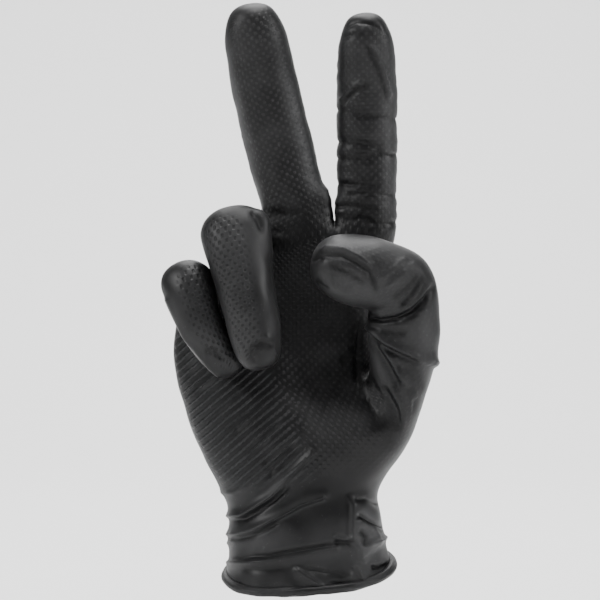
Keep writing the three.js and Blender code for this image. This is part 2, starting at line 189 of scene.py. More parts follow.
def unit(v: Array) -> Array:
    """The vector, or each row of vectors, at length one."""
    return v / np.maximum(np.linalg.norm(v, axis=-1, keepdims=True), 1e-12)


def smoothstep(low: float, high: float, x: Array) -> Array:
    """Rises from 0 at low to 1 at high as 3t^2 - 2t^3."""
    t = np.clip((x - low) / (high - low), 0.0, 1.0)
    return t * t * (3.0 - 2.0 * t)


def store(mesh: bpy.types.Mesh, name: str, values: Array) -> None:
    """Adds a float attribute to the mesh's points."""
    layer = mesh.attributes.new(name, "FLOAT", "POINT")
    layer.data.foreach_set("value", values.astype(np.float32))


def link(name: str, data: bpy.types.ID) -> bpy.types.Object:
    """Makes an object with the data and links it to the scene."""
    made = bpy.data.objects.new(name, data)
    bpy.context.scene.collection.objects.link(made)
    return made


@dataclass(frozen=True)
class Stall:
    """One finger or thumb of the glove."""

    region: Region
    width: float
    depth: float
    root: Root
    bones: tuple[Bone, ...]
    profile: Profile
    bends_across: bool = False

    def side(self) -> Array:
        """The way square to the plane that the bones bend in."""
        last = self.bones[-1]
        towards = direction(last.lean, last.curl) if self.bends_across else np.array([0.0, -1.0, 0.0])
        return unit(np.cross(direction(self.bones[0].lean, self.bones[0].curl), towards))

    def ring(self, centre: Array, along: Array, wide: float, palm: float,
             back: float) -> Array:
        """Eight cage points round the stall.

        Args:
            centre: The section's middle.
            along: The way along the stall.
            wide: Half the width.
            palm: The half depth on the palm side.
            back: The half depth on the back.

        Returns:
            centre + side * s * wide + palm direction * p * depth for the eight places (s, p).
        """
        across = unit(self.side() - along * np.dot(self.side(), along))
        towards = np.cross(across, along)
        deep = np.where(AROUND[:, 1] > 0, palm, back) * AROUND[:, 1]
        return centre + AROUND[:, :1] * wide * across + deep[:, None] * towards

    def root_ring(self, hand: "Hand") -> Array:
        """The ring where the stall leaves the palm."""
        half = CAGE_SPREAD / 2
        deep = self.depth * half
        along = direction(self.root.lean, self.root.curl)
        return self.ring(hand.root_of(self), along, self.width * half, deep, deep)

    def rings(self, hand: "Hand") -> tuple[list[Array], Array]:
        """The rings beyond the root, and the tip."""
        ways = [direction(b.lean, b.curl) for b in self.bones]
        joints = [hand.root_of(self)]
        for bone, way in zip(self.bones, ways):
            joints.append(joints[-1] + way * bone.length)
        half = CAGE_SPREAD / 2
        made = []
        for s in (Section(*row) for row in SECTIONS[self.profile]):
            along = ways[s.bone] if s.at > 0 else unit(ways[s.bone] + ways[s.bone - 1])
            centre = joints[s.bone] + (joints[s.bone + 1] - joints[s.bone]) * s.at
            made.append(self.ring(centre, along, s.wide * self.width * half,
                                  s.palm * self.depth * half, s.back * self.depth * half))
        return made, joints[-1]


STALLS = (
    Stall(Region.LITTLE, 20.5 * MM, 18 * MM, Root(-0.432, -0.09, 0.685, -24, 35),
          (Bone(24.2 * MM, -26.5, 58), Bone(21.5 * MM, -18, 174), Bone(23 * MM, -36, 195)),
          Profile.FOLDED),
    Stall(Region.RING, 26.5 * MM, 20.5 * MM, Root(-0.264, -0.05, 0.821, -16, 33),
          (Bone(31 * MM, -13.5, 56), Bone(31 * MM, -12.5, 172), Bone(28 * MM, -11, 180)),
          Profile.FOLDED),
    Stall(Region.MIDDLE, 27 * MM, 22 * MM, Root(-0.032, 0.09, 0.97, -14, 2),
          (Bone(31 * MM, -15.5, 3), Bone(31 * MM, -13.5, 8), Bone(33.5 * MM, -10.5, 13)),
          Profile.STRAIGHT),
    Stall(Region.INDEX, 24.5 * MM, 21 * MM, Root(0.23, 0.05, 0.94, 0, 1),
          (Bone(30 * MM, 0, 2), Bone(29 * MM, -0.5, 8), Bone(33.5 * MM, -1, 14)), Profile.STRAIGHT),
    Stall(Region.THUMB, 26 * MM, 28 * MM, Root(0.36, -0.28, 0.33, 4, 28),
          (Bone(29.5 * MM, 5, 28), Bone(23 * MM, -8, 12), Bone(38 * MM, -72.5, 14)),
          Profile.THUMB, True),
)


@dataclass
class Cage:
    """A cage of four-sided faces with a flat chart for the dots and tags for the regions."""

    points: list[Array] = field(default_factory=list)
    regions: list[Array] = field(default_factory=list)
    alongs: list[Array] = field(default_factory=list)
    quads: list[Array] = field(default_factory=list)
    charts: list[Array] = field(default_factory=list)
    count: int = 0

    def add(self, points: Array, region: Region, along: float = 0.0) -> Array:
        """Adds points and returns their numbers.

        Args:
            points: The points, one a row.
            region: The region they belong to.
            along: How far along its stall they lie, from 0 to 1.

        Returns:
            The numbers of the new points.
        """
        numbers = np.arange(self.count, self.count + len(points))
        self.count += len(points)
        self.points.append(points)
        self.regions.append(np.full(len(points), list(Region).index(region)))
        self.alongs.append(np.full(len(points), along))
        return numbers

    def band(self, low: Array, high: Array, flat_low: Array, flat_high: Array,
             keep: Array | None = None) -> None:
        """Joins two rings with faces.

        Args:
            low: Point numbers of the ring nearer the cuff.
            high: Point numbers of the further ring.
            flat_low: The chart of the low ring, with its first point again at the end.
            flat_high: The chart of the high ring.
            keep: Which faces of the band are made.
        """
        keep = np.ones(len(low), bool) if keep is None else keep
        quads = np.stack([low, np.roll(low, -1), np.roll(high, -1), high], axis=1)
        charts = np.stack([flat_low[:-1], flat_low[1:], flat_high[1:], flat_high[:-1]], axis=1)
        self.quads.append(quads[keep])
        self.charts.append(charts[keep])

    def cap(self, ring: Array, tip: int, flat: Array, reach: float) -> None:
        """Closes a ring of eight with four faces round a tip."""
        odd = np.array([1, 3, 5, 7])
        before, after = odd - 1, (odd + 1) % 8
        self.quads.append(np.stack([np.full(4, tip), ring[before], ring[odd], ring[after]], axis=1))
        crown = np.stack([flat[odd, 0], flat[odd, 1] + reach], axis=1)
        self.charts.append(np.stack([crown, flat[before], flat[odd], flat[odd + 1]], axis=1))


def chart_of(ring: Array, height: Array | float, middle: int) -> Array:
    """Lays a ring out flat.

    Args:
        ring: The ring's points.
        height: The chart's second coordinate.
        middle: The point whose first coordinate is zero.

    Returns:
        (distance run round the ring, height) for each point and the first one again.
    """
    closed = np.vstack([ring, ring[:1]])
    run = np.concatenate([[0.0], np.cumsum(np.linalg.norm(np.diff(closed, axis=0), axis=1))])
    return np.stack([run - run[middle], np.broadcast_to(height, run.shape)], axis=1)


@dataclass
class Hand:
    """The palm, its back and the cuff, with the five stalls that grow from them."""

    cuff_height: float = 31.5 * MM
    cuff_breadth: float = 70.5 * MM
    cuff_depth: float = 48 * MM
    wrist_breadth: float = 62 * MM
    wrist_depth: float = 42 * MM
    palm_height: float = 110 * MM
    palm_breadth: float = 100 * MM
    palm_depth: float = 40 * MM
    rim_lean_deep: float = 0.25
    rim_lean_across: float = 0.074
    rim_lift: float = 1.5 * MM
    web_rise: float = 1.0 * MM
    thumb_rows: tuple[int, int, int] = (1, 2, 3)
    cuff_rows: tuple[CuffRow, ...] = (
        CuffRow(0, -0.5, 0.49, 0.5), CuffRow(0.2, -0.487, 0.461, 0.479),
        CuffRow(0.4, -0.484, 0.443, 0.469), CuffRow(0.6, -0.484, 0.428, 0.458),
        CuffRow(0.8, -0.487, 0.414, 0.448),
    )
    wrist: CuffRow = CuffRow(1, -0.572, 0.445, 0.495)
    palm_rows: tuple[PalmRow, ...] = (
        PalmRow((0.105, 0.08, 0.11), (-0.428, 0.33, 0.33, 0.33), (0, -0.07), (0.5, 0.48, 0.5),
                (0.47, 0.47)),
        PalmRow((0.215, 0.16, 0.23), (-0.485, 0.42, 0.42, 0.42), (-0.02, -0.22), (0.43, 0.42, 0.42),
                (0.44, 0.46), 8),
        PalmRow((0.33, 0.25, 0.345), (-0.53, 0.41, 0.405, 0.4), (-0.02, -0.3), (0.4, 0.33, 0.46),
                (0.42, 0.58), 8),
        PalmRow((0.44, 0.38, 0.45), (-0.56, 0.23, 0.27, 0.38), (-0.02, -0.14), (0.36, 0.28, 0.36),
                (0.4, 0.26), 8),
        PalmRow((0.555, 0.68, 0.74), (-0.575, 0.26, 0.27, 0.28), (0, 0), (0.3, 0.28, 0.3), (0.4, 0.4)),
    )

    def root_of(self, stall: Stall) -> Array:
        """The middle of a stall's root."""
        r = stall.root
        return np.array([r.across * self.palm_breadth, r.deep * self.palm_depth,
                         self.cuff_height + r.rise * self.palm_height])

    @staticmethod
    def row(shape: PalmRow) -> Array:
        """One closed row of twenty points, from real sizes.

        Each side stands out from the line between the two edges by s * sqrt(1 - |2c - 1|^n), where c
        is the share across and n rounds the form.

        Args:
            shape: Heights, edges and stands in metres.

        Returns:
            Nine palm points, the thumb's edge, nine back points and the little edge.
        """
        turn = 2 * COLUMNS - 1
        little, hollow, thumb = shape.palm
        stand = np.where(COLUMNS < 0.5, little + (hollow - little) * 2 * COLUMNS,
                         hollow + (thumb - hollow) * turn)
        round_palm = np.sqrt(1 - np.abs(turn) ** np.where(turn > 0, shape.full, 3.0))
        round_back = np.sqrt(1 - np.abs(turn) ** 3.0)
        edge_little, edge_palm, edge_side, edge_back = shape.edge
        line = shape.mid[0] + (shape.mid[1] - shape.mid[0]) * COLUMNS
        behind = shape.back[0] + (shape.back[1] - shape.back[0]) * COLUMNS
        low, palm, back = shape.rise
        front = np.stack([edge_little + (edge_palm - edge_little) * COLUMNS, line - stand * round_palm,
                          low + (palm - low) * COLUMNS], axis=1)
        rear = np.stack([edge_little + (edge_back - edge_little) * COLUMNS, line + behind * round_back,
                         low + (back - low) * COLUMNS], axis=1)
        thumb_edge = np.array([[edge_side, shape.mid[1], (palm + back) / 2]])
        little_edge = np.array([[edge_little, shape.mid[0], low]])
        return np.vstack([front, thumb_edge, rear[::-1], little_edge])

    def oval(self, height: float, shape: CuffRow, breadth: float, depth: float) -> Array:
        """An upright oval row at a height."""
        left, right, half = shape.left * breadth, shape.right * breadth, shape.deep * depth
        edges = (left, right, right, right)
        return self.row(PalmRow((height,) * 3, edges, (0, 0), (half,) * 3, (half, half)))

    def rows(self) -> list[Array]:
        """All rows from the rim to below the finger roots."""
        made = []
        for shape in self.cuff_rows:
            points = self.oval(shape.rise * self.cuff_height, shape, self.cuff_breadth, self.cuff_depth)
            tilt = self.rim_lean_deep * points[:, 1] + self.rim_lean_across * points[:, 0]
            points[:, 2] += (1 - shape.rise) * (tilt + self.rim_lift)
            made.append(points)
        made.append(self.oval(self.cuff_height, self.wrist, self.wrist_breadth, self.wrist_depth))
        for shape in self.palm_rows:
            scaled = PalmRow(
                tuple(self.cuff_height + r * self.palm_height for r in shape.rise),
                tuple(e * self.palm_breadth for e in shape.edge),
                tuple(m * self.palm_depth for m in shape.mid),
                tuple(p * self.palm_depth for p in shape.palm),
                tuple(b * self.palm_depth for b in shape.back), shape.full)
            made.append(self.row(scaled))
        return made

    def finger_row(self) -> tuple[Array, Array, Array]:
        """The palm points, webs and back points that the four finger roots share."""
        rings = [s.root_ring(self) for s in STALLS[:4]]
        lift = np.array([0, 0, self.web_rise])

        def meet(i: int, right: int, left: int, rise: Array | float) -> Array:
            """The point between two neighbouring roots, or the outer point of an end one."""
            if i == 0:
                return rings[0][left]
            if i == len(rings):
                return rings[-1][right]
            return (rings[i - 1][right] + rings[i][left]) / 2 + rise

        palm, back, webs = [], [], []
        for i in range(len(rings) + 1):
            palm.append(meet(i, 2, 0, 0.0))
            webs.append(meet(i, 3, 7, lift))
            back.append(meet(i, 4, 6, 0.0))
            if i < len(rings):
                palm.append(rings[i][1])
                back.append(rings[i][5])
        return np.array(palm), np.array(webs), np.array(back)

    def cage(self) -> Cage:
        """The cage of the whole glove."""
        cage = Cage()
        edge = len(COLUMNS)
        low, mid, high = (len(self.cuff_rows) + 1 + r for r in self.thumb_rows)
        rows = self.rows()
        rings = [cage.add(points, Region.HAND) for points in rows]
        palm, webs, back = self.finger_row()
        numbers = [cage.add(points, Region.HAND) for points in (palm, webs, back)]
        rings.append(np.concatenate([numbers[0], numbers[1][-1:], numbers[2][::-1], numbers[1][:1]]))
        rows.append(np.vstack([palm, webs[-1:], back[::-1], webs[:1]]))
        flats = [chart_of(r, np.append(r[:, 2], r[0, 2]), edge // 2) for r in rows]
        for k in range(len(rings) - 1):
            keep = np.ones(len(rings[k]), bool)
            if k in (low, mid):
                keep[[edge - 1, edge]] = False
            cage.band(rings[k], rings[k + 1], flats[k], flats[k + 1], keep)
        p, w, b = numbers
        for i, stall in enumerate(STALLS[:4]):
            ring = [*p[2 * i:2 * i + 3], w[i + 1], *b[2 * i:2 * i + 3][::-1], w[i]]
            self.add_stall(cage, stall, np.array(ring))
        lower, middle, upper = rings[low], rings[mid], rings[high]
        self.add_stall(cage, STALLS[4], np.array([
            upper[edge + 1], upper[edge], upper[edge - 1], middle[edge - 1],
            lower[edge - 1], lower[edge], lower[edge + 1], middle[edge + 1]]))
        return cage

    def add_stall(self, cage: Cage, stall: Stall, root: Array) -> None:
        """Adds a stall's rings and tip to the cage.

        Args:
            cage: The cage.
            stall: The stall.
            root: The eight point numbers that it grows from.
        """
        sections, tip = stall.rings(self)
        base = np.vstack(cage.points)[root]
        sections.insert(0, (base + sections[0]) / 2)
        ring, flat, run = root, chart_of(base, 0.0, 1), 0.0
        for k, points in enumerate(sections):
            run += float(np.linalg.norm(points.mean(0) - base.mean(0)))
            base = points
            numbers = cage.add(points, stall.region, (k + 1) / (len(sections) + 1))
            flat_next = chart_of(points, run, 1)
            cage.band(ring, numbers, flat, flat_next)
            ring, flat = numbers, flat_next
        crown = cage.add(tip[None, :], stall.region, 1.0)
        cage.cap(ring, int(crown[0]), flat, float(np.linalg.norm(tip - base.mean(0))))


@dataclass(frozen=True)
class View:
    """The camera's place and lens, which also place the folds."""

    x: float = -4.03 * MM
    distance: float = 1.0
    z: float = 110 * MM
    focal: float = 2479.0
    sensor: float = 36.0

    def picture(self, points: Array) -> Array:
        """Where points fall in the picture: 300 + f (x - cx) / d across, 300 - f (z - cz) / d down."""
        scale = self.focal / (self.distance + points[:, 1])
        half = PICTURE_SIDE / 2
        across = half + scale * (points[:, 0] - self.x)
        return np.stack([across, half - scale * (points[:, 2] - self.z)], axis=1)

    def build(self) -> None:
        """Places the scene's camera."""
        data = bpy.data.cameras.new("camera")
        data.sensor_width = self.sensor
        data.lens = self.focal / PICTURE_SIDE * self.sensor
        data.clip_end = 20
        camera = link("camera", data)
        camera.location = (self.x, -self.distance, self.z)
        camera.rotation_euler = (np.pi / 2, 0, 0)
        bpy.context.scene.camera = camera


# The regions hand, little, ring, middle, index and thumb, for the tables
H, L, R, M, I, T = ((region,) for region in Region)
HT = H + T
# Each row is a Fold's regions, path, height, left and right, and True if it wraps
FOLDS = tuple(Fold(*row) for row in (
    # The cuff's slanting drape folds
    (H, (217, 492, 234, 493, 248, 486, 264, 469), 0.8, 1.4, 0.9, True),
    (H, (218, 517, 242, 515, 256, 507, 270, 498, 287, 481, 299, 468, 312, 454), 1.8, 2, 0.8, True),
    (H, (230, 521, 246, 519, 260, 511, 276, 500, 292, 484), -0.9, 0.8, 0.8),
    (H, (218, 535, 238, 534, 254, 530, 270, 522, 284, 515, 301, 505, 322, 498), 1.6, 2, 0.8, True),
    (H, (232, 540, 252, 536, 268, 529, 284, 521), -0.8, 0.8, 0.9),
    (H, (218, 545, 226, 545, 232, 541), 1, 1.2, 0.8, True),
    (H, (221, 562, 250, 562, 275, 560, 306, 554, 336, 548), 1.3, 0.8, 1.8, True),
    (H, (240, 556, 267, 556, 300, 550, 342, 543), -0.9, 0.9, 0.9),
    (H, (240, 569, 262, 570, 292, 568), -0.6, 0.9, 1),
    (H, (292, 566, 309, 577, 328, 590), 1.3, 0.9, 2.4),
    (H, (303, 568, 325, 572, 350, 577), -0.8, 1, 1.2),
    (H, (326, 583, 345, 584, 360, 586), -0.8, 0.9, 1.1),
    (H, (325, 573, 340, 575, 355, 575), 0.7, 1.8, 1.8),
    # The pleat at the cuff's thumb side
    (H, (347, 492, 351, 505, 351, 537, 357, 546, 361, 558, 368, 564), 2.3, 9, 0.8),
    (H, (352, 499, 364, 499, 380, 506), -1.2, 0.9, 1.4),
    (H, (353, 513, 366, 521, 386, 530), -1.5, 0.9, 1.6),
    (H, (355, 517, 368, 525, 386, 533), 1.1, 0.9, 1.4),
    (H, (367, 545, 378, 541, 394, 532), 1.8, 1, 1.4, True),
    (H, (358, 528, 365, 537, 363, 548), -1.1, 0.9, 1.2),
    (H, (370, 528, 376, 536, 374, 545), 0.9, 0.9, 1.2),
    (H, (332, 536, 343, 539, 354, 540), 1.3, 0.9, 0.9),
    (H, (332, 542, 343, 543, 352, 543), -0.8, 0.8, 0.8),
    (H, (353, 564, 359, 574, 366, 586), 1.8, 3.2, 0.7),
    (H, (370, 566, 380, 568, 392, 563), -1.4, 0.9, 1.2),
    (H, (372, 582, 382, 574, 392, 566), -1.1, 0.9, 1.4),
    # Tension lines over the heel of the palm
    (H, (229, 436, 248, 416, 268, 396), -0.6, 1, 1.3),
    (H, (243, 458, 262, 438, 281, 419), -0.6, 1.1, 1.3),
    (H, (270, 481, 272, 467, 284, 453, 298, 441), -0.7, 1, 1.2),
    (H, (279, 470, 290, 457, 303, 446), -0.5, 1, 1),
    (H, (262, 452, 276, 437, 290, 424), 0.4, 1.2, 1),
    (H, (205, 425, 225, 404, 246, 386), -0.4, 1, 1.2),
    (H, (212, 447, 232, 425, 252, 405), -0.4, 1, 1.2),
    (H, (180, 398, 200, 384, 218, 374), -0.4, 1, 1.2),
    # The ball of the thumb
    (HT, (366, 327, 384, 341, 400, 350, 420, 359, 443, 368), 1.8, 1.6, 0.8, True),
    (HT, (368, 335, 384, 348, 402, 356, 422, 365), -1.2, 0.9, 1),
    (HT, (366, 324, 385, 330, 410, 333), -0.9, 1, 1.4),
    (HT, (359, 318, 359, 336, 358, 354, 358, 372, 359, 392), -1.6, 1, 1.4),
    (HT, (340, 366, 345, 356, 357, 346), -1, 0.8, 0.9),
    (HT, (363, 362, 368, 377, 375, 390, 384, 402), -0.9, 1.3, 1.6),
    (HT, (368, 338, 380, 353, 390, 370, 401, 392), -1.6, 1.1, 1.3),
    (HT, (374, 338, 388, 354, 398, 370, 408, 390), 1.2, 1.1, 1.3),
    (HT, (395, 366, 404, 378, 411, 388, 418, 402), 1, 1.6, 1.6),
    (HT, (405, 362, 416, 375, 424, 392), -0.8, 1.4, 1.6),
    (HT, (380, 384, 390, 398, 397, 412, 400, 434), -0.9, 1.3, 1.6),
    (HT, (388, 386, 400, 402, 403, 418, 402, 432), 0.8, 1.2, 1.4),
    (HT, (366, 394, 374, 412, 378, 432), -0.35, 1.6, 1.8),
    (HT, (408, 385, 415, 400, 414, 415), -0.7, 1.2, 1.4),
    (HT, (328, 330, 342, 321, 358, 312), -0.5, 1.4, 1.8),
    (HT, (430, 358, 438, 363, 444, 369), 1.6, 2.4, 1, True),
    # The thumb
    (HT, (358, 315, 380, 321, 397, 319, 412, 312, 425, 300, 437, 281), -2.4, 1.1, 1.2),
    (T, (398, 308, 411, 294, 424, 274), -1, 0.9, 1.2),
    (T, (408, 308, 419, 296, 428, 280), -0.8, 0.8, 1),
    (T, (382, 291, 400, 276, 418, 260), 0.7, 0.9, 1.2),
    (T, (378, 282, 394, 268, 408, 256), 0.6, 0.9, 1.2),
    (T, (390, 300, 406, 288, 420, 272), -0.6, 0.9, 1),
    (T, (312, 259, 321, 253, 340, 255, 356, 262, 370, 272, 375, 284, 376, 296), -1.3, 0.9, 1.2),
    (T, (315, 253, 326, 247, 344, 249, 360, 257, 375, 269), 1, 1, 0.9),
    (T, (327, 263, 342, 269, 356, 277, 367, 285), -0.6, 0.9, 1),
    (T, (312, 262, 318, 258, 324, 260), -0.6, 0.9, 1),
    (T, (315, 279, 322, 286, 330, 290), -0.5, 1, 1),
    (T, (332, 268, 334, 282, 345, 290, 358, 284), -0.3, 1.5, 1.2),
    # The little and ring stalls
    (R, (251, 346, 262, 342, 274, 346), -0.9, 0.8, 1),
    (R, (252, 345, 252, 356, 257, 364), -0.6, 0.9, 1),
    (R, (264, 333, 272, 345, 277, 358), 0.7, 1.2, 0.9),
    (R, (274, 250, 270, 230, 262, 212), 2.2, 2.4, 2.4, True),
    (R, (262, 232, 258, 220, 250, 211), -0.9, 1, 1),
    (L, (167, 300, 176, 322, 185, 338, 202, 358, 221, 377), 0.9, 0.8, 1, True),
    (L, (204, 352, 214, 349, 224, 362), -0.6, 1, 1.2),
    (L, (203, 350, 210, 368, 222, 378), 0.5, 1, 1.2),
    # The middle stall
    (M, (266, 214, 268, 228, 271, 246), 1.8, 2.4, 2.4, True),
    (M, (262, 211, 285, 214, 305, 212), -1, 1.4, 1.8),
    (M, (272, 231, 288, 235, 306, 229), -1, 1.3, 1.6),
    (M, (230, 50, 237, 80, 246, 112, 256, 150), 0.5, 1.6, 2.6),
    (M, (324, 192, 330, 208, 336, 230), 2.3, 2.2, 2.2, True),
    # The index stall
    (I, (339, 203, 338, 214, 337, 230), 1.5, 2.2, 2.2, True),
    (I, (369, 40, 376, 54, 382, 68, 389, 90, 391, 104), 1.1, 0.8, 3.4),
    (I, (365, 42, 372, 56, 378, 70, 385, 92, 388, 106), -0.8, 0.8, 0.9),
    (I, (337, 104, 343, 98, 354, 86, 366, 77), 1.1, 0.9, 1.2),
    (I, (342, 106, 350, 97, 360, 88, 370, 82), -1, 0.9, 1),
    (I, (335, 110, 350, 110, 364, 111), -0.8, 0.8, 1, True),
    (I, (360, 116, 378, 116, 397, 119), -0.8, 0.8, 1, True),
    (I, (333, 143, 352, 141, 370, 145, 380, 149), -1.1, 1.1, 1.2, True),
    (I, (358, 155, 376, 154, 398, 155), -0.9, 0.9, 1, True),
    (I, (333, 159, 350, 158, 368, 160), -0.8, 0.8, 0.9, True),
    (I, (336, 183, 356, 185, 378, 184), -0.9, 0.9, 1.1, True),
    (I, (350, 194, 372, 193, 398, 196), -0.7, 0.8, 0.9, True),
    (I, (340, 207, 358, 206, 374, 209), -0.8, 0.9, 1, True),
    (I, (346, 221, 362, 218, 376, 224, 398, 222), -1, 1, 1.1, True),
    (I, (358, 233, 374, 230, 390, 226), -0.8, 0.9, 1),
    (I, (344, 28, 356, 22, 370, 24, 384, 30), -0.6, 0.9, 0.9),
    (I, (342, 38, 354, 34, 366, 36), -0.5, 0.8, 0.9),
))


@dataclass(frozen=True)
class PaintedLight:
    """A patch of painted light on the film, or of painted shade where its amount is below zero.

    Its middle and its two radii are in pixels of the 600 by 600 picture and its lean is in degrees.
    The amount is added to the film's tone, and is below zero for a darker patch.
    """

    regions: tuple[Region, ...]
    across: float
    down: float
    wide: float
    tall: float
    lean: float
    amount: float


# Each row is a painted light patch's regions, across, down, wide, tall, lean and amount; amounts below
# zero are painted shade
PAINTED_LIGHTS = tuple(PaintedLight(*row) for row in (
    (H, 300, 285, 32, 66, 10, -1),
    (H, 332, 318, 26, 18, 0, -0.6),
    (M, 300, 232, 22, 16, 0, -0.9),
    (M + H, 320, 216, 10, 20, -22, -1),
    (H, 340, 476, 26, 46, 8, -0.5),
    (H, 300, 505, 45, 20, -18, -0.35),
    (H, 374, 464, 14, 38, 24, -0.7),
    (H, 370, 526, 19, 34, 0, 1),
    (H, 252, 540, 30, 12, -5, 0.4),
    (T, 350, 242, 34, 9, 6, 0.9),
    (T, 352, 290, 30, 14, 0, 0.25),
    (HT, 428, 350, 9, 46, -4, 0.5),
    (I, 390, 150, 8, 95, 0, 0.8),
    (M, 300, 130, 8, 85, -14, 0.8),
    (M, 236, 90, 5, 75, -14, 0.7),
    (R, 262, 352, 10, 11, 0, -0.9),
))


@dataclass(frozen=True)
class Ripple:
    """A sum of plane waves with seeded directions, with wavelengths in millimetres."""

    seed: int
    waves: int
    shortest: float
    longest: float
    way: tuple[float, float, float] = (1, 1, 1)

    def at(self, points: Array) -> Array:
        """The sum at each point, which is sum sin(k . p + phase) / sqrt(waves)."""
        draw = np.random.default_rng(self.seed)
        ways = unit(draw.normal(size=(self.waves, 3)) * self.way)
        lengths = draw.uniform(self.shortest * MM, self.longest * MM, (self.waves, 1))
        phases = draw.uniform(0, 2 * np.pi, self.waves)
        waves = np.sin(points @ (ways * (2 * np.pi / lengths)).T + phases)
        return waves.sum(axis=1) / np.sqrt(self.waves)


BILLOWS = Ripple(3, 9, 16, 30, (1, 1, 2.6))
SLACK = Ripple(5, 14, 9, 18)
PATCHES = Ripple(8, 7, 16, 30)
WRINKLES = Ripple(13, 6, 3.4, 6, (0.12, 0.12, 1))


@dataclass
class Film:
    """The smoothed film, as arrays, with the folds laid on it."""

    mesh: bpy.types.Mesh
    view: View
    co: Array = field(init=False)
    normal: Array = field(init=False)
    region: Array = field(init=False)
    along: Array = field(init=False)
    rest: Array = field(init=False)

    def __post_init__(self) -> None:
        """Reads the mesh."""
        count = len(self.mesh.vertices)
        self.co = self.read("position", "vector", 3)
        self.normal = np.empty(count * 3, np.float32)
        self.mesh.vertex_normals.foreach_get("vector", self.normal)
        self.normal = self.normal.reshape(-1, 3).astype(float)
        self.region = np.stack([self.read(r.value, "value", 1)[:, 0] for r in Region], axis=1)
        self.along = self.read("along", "value", 1)[:, 0]

    def read(self, name: str, key: str, size: int) -> Array:
        """A point attribute of the mesh as an array."""
        data = self.mesh.attributes[name].data
        out = np.empty(len(data) * size, np.float32)
        data.foreach_get(key, out)
        return out.reshape(-1, size).astype(float)

    def share(self, regions: tuple[Region, ...]) -> Array:
        """How much each point belongs to some regions, from 0 to 1."""
        return sum(self.region[:, list(Region).index(r)] for r in regions)

    def seen(self, fold: Fold) -> Array:
        """How much a fold acts on each point, by its region and by the way it faces."""
        facing = smoothstep(0.0, 0.45, -self.normal[:, 1])
        if fold.wraps:
            facing = np.maximum(facing, 0.75) * smoothstep(-0.75, -0.2, -self.normal[:, 1])
        return self.share(fold.regions) * facing

    def along_path(self, fold: Fold, at: Array) -> tuple[Array, Array, Array]:
        """Where points lie by a fold's path.

        Args:
            fold: The fold.
            at: The points' places in the picture.

        Returns:
            The distance from the path in pixels, whether it is to the left, and the share travelled.
        """
        path = np.array(fold.path, float).reshape(-1, 2)
        start, step = path[:-1], np.diff(path, axis=0)
        length = np.linalg.norm(step, axis=1)
        run = np.concatenate([[0.0], np.cumsum(length)])
        rel = at[:, None, :] - start
        t = np.clip((rel * step).sum(2) / length**2, 0.0, 1.0)
        off = rel - t[..., None] * step
        distance = np.linalg.norm(off, axis=2)
        nearest = distance.argmin(axis=1)
        rows = np.arange(len(at))
        d = distance[rows, nearest]
        s, o = step[nearest], off[rows, nearest]
        left = s[:, 0] * o[:, 1] - s[:, 1] * o[:, 0] < 0
        return d, left, (run[:-1] + t * length)[rows, nearest] / run[-1]

    def fold(self, fold: Fold, at: Array) -> Array:
        """How far one fold lifts each point.

        With d the distance from the path, the lift is height * exp(-(d / width)^1.6), with the width
        of the point's side, and less towards the path's ends.

        Args:
            fold: The fold.
            at: The points' places in the picture.

        Returns:
            The lift in metres.
        """
        d, left, travelled = self.along_path(fold, at)
        width = np.where(left, fold.left, fold.right) * MM
        ends = 1.0
        if not fold.wraps:
            ends = smoothstep(0, FOLD_END, travelled) * smoothstep(0, FOLD_END, 1 - travelled)
        pixel = self.view.distance / self.view.focal
        fall = np.exp(-((d * pixel / width) ** FOLD_POWER))
        return fold.height * MM * fall * ends * self.seen(fold)

    def near(self) -> Array:
        """Each point's distance in pixels from a fold that acts on it, over the fold's height.

        Returns:
            The least over all folds, and a thousand where none acts.
        """
        at = self.view.picture(self.co)
        far = [np.where(self.seen(f) > 0.2, self.along_path(f, at)[0] / abs(f.height), 1e3)
               for f in FOLDS]
        return np.min(far, axis=0)

    def shape(self) -> None:
        """Lays folds, tension waves and cross wrinkles on the film."""
        self.rest = self.co.copy()
        x, y, z = self.rest.T
        at = self.view.picture(self.rest)
        lift = sum(self.fold(f, at) for f in FOLDS)
        rim = smoothstep(0.5 * MM, 5 * MM, z - Hand.rim_lean_deep * y - Hand.rim_lean_across * x)
        lift = lift * (0.25 + 0.75 * rim)
        cuff = self.share(H) * (1 - smoothstep(28 * MM, 50 * MM, z))
        back = smoothstep(0.0, 0.5, self.normal[:, 1])
        lift += cuff * rim * (0.25 + 0.6 * back) * MM * BILLOWS.at(self.rest)
        lift += SLACK_HEIGHT * MM * SLACK.at(self.rest)
        patch = smoothstep(-0.3, 0.9, PATCHES.at(self.rest))
        crossed = self.share(I) * smoothstep(0.0, 0.3, 0.85 - self.along)
        crossed += self.share(M) * smoothstep(0.0, 0.3, 0.55 - self.along)
        lift += crossed * (0.25 + 0.75 * patch) * WRINKLE_HEIGHT * MM * WRINKLES.at(self.rest)
        self.co += self.normal * lift[:, None]

    def tone(self) -> Array:
        """Painted shade in the creases and the palm's hollow, and patches of painted light."""
        at = self.view.picture(self.rest)
        front = smoothstep(0.0, 0.4, -self.normal[:, 1])
        # Painted shade along the creases, from the folds that sink
        crease_shade = sum(self.fold(f, at) for f in FOLDS if f.height < 0) / MM
        out = np.minimum(crease_shade * PAINTED_CREASE_SHADE, 0.0)
        # Patches of painted light and painted shade on the film's front
        for painted_patch in PAINTED_LIGHTS:
            x, y = (at - np.array([painted_patch.across, painted_patch.down])).T
            c, s = np.cos(np.radians(painted_patch.lean)), np.sin(np.radians(painted_patch.lean))
            u = (x * c + y * s) / painted_patch.wide
            v = (y * c - x * s) / painted_patch.tall
            near = self.share(painted_patch.regions) * np.exp(-(u**2) - v**2)
            out = out + painted_patch.amount * front * near
        return np.clip(out, -1, 1)

